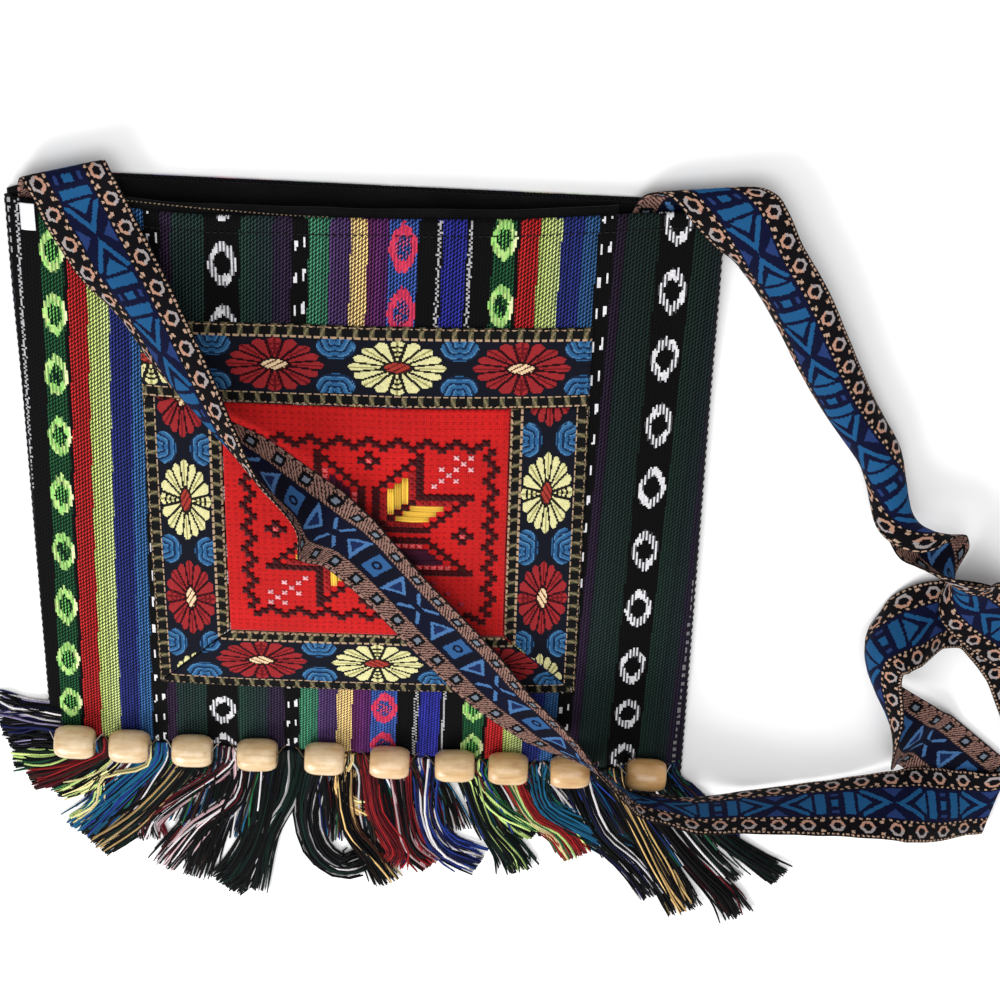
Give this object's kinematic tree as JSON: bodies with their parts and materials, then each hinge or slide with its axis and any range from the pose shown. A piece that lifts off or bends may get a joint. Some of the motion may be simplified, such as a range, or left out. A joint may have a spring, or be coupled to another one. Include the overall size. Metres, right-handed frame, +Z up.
{
  "type": "tasselled crossbody bag",
  "caption": "Flat striped cloth crossbody pouch lying on its back, with a ribbon-framed cross-stitch square, wooden beads, a thread fringe and a long woven strap.",
  "frame": {"origin": "middle of the back panel's outer face, on the surface that the bag lies on", "axes": "+X to the right of the bag seen from the front, +Y towards its mouth, +Z up out of its front"},
  "size_m": [0.5033, 0.3716, 0.0539],
  "materials": {
    "striped_cloth": "coarse striped cotton weave",
    "facing": "black cotton facing",
    "ribbon": "jacquard ribbon with flowers",
    "cross_stitch": "red counted-thread cloth with cross stitch",
    "label": "blank white tape",
    "strap": "jacquard webbing, blue and peach on black",
    "bead": "varnished light wood",
    "fringe": "unravelled coloured cotton threads"
  },
  "bodies": {
    "root": {"front_panel": "striped_cloth", "back_panel": "striped_cloth", "back_facing": "facing", "front_facing": "facing", "ribbon_top": "ribbon", "ribbon_left": "ribbon", "ribbon_right": "ribbon", "ribbon_bottom": "ribbon", "cross_stitch_panel": "cross_stitch", "side_label": "label", "strap": "strap", "bead_01": "bead", "bead_02": "bead", "bead_03": "bead", "bead_04": "bead", "bead_05": "bead", "bead_06": "bead", "bead_07": "bead", "bead_08": "bead", "bead_09": "bead", "bead_10": "bead", "fringe_01": "fringe", "fringe_02": "fringe", "fringe_03": "fringe", "fringe_04": "fringe", "fringe_05": "fringe", "fringe_06": "fringe", "fringe_07": "fringe", "fringe_08": "fringe", "fringe_09": "fringe", "fringe_10": "fringe", "fringe_11": "fringe", "fringe_12": "fringe", "fringe_13": "fringe"}
  },
  "joints": []
}
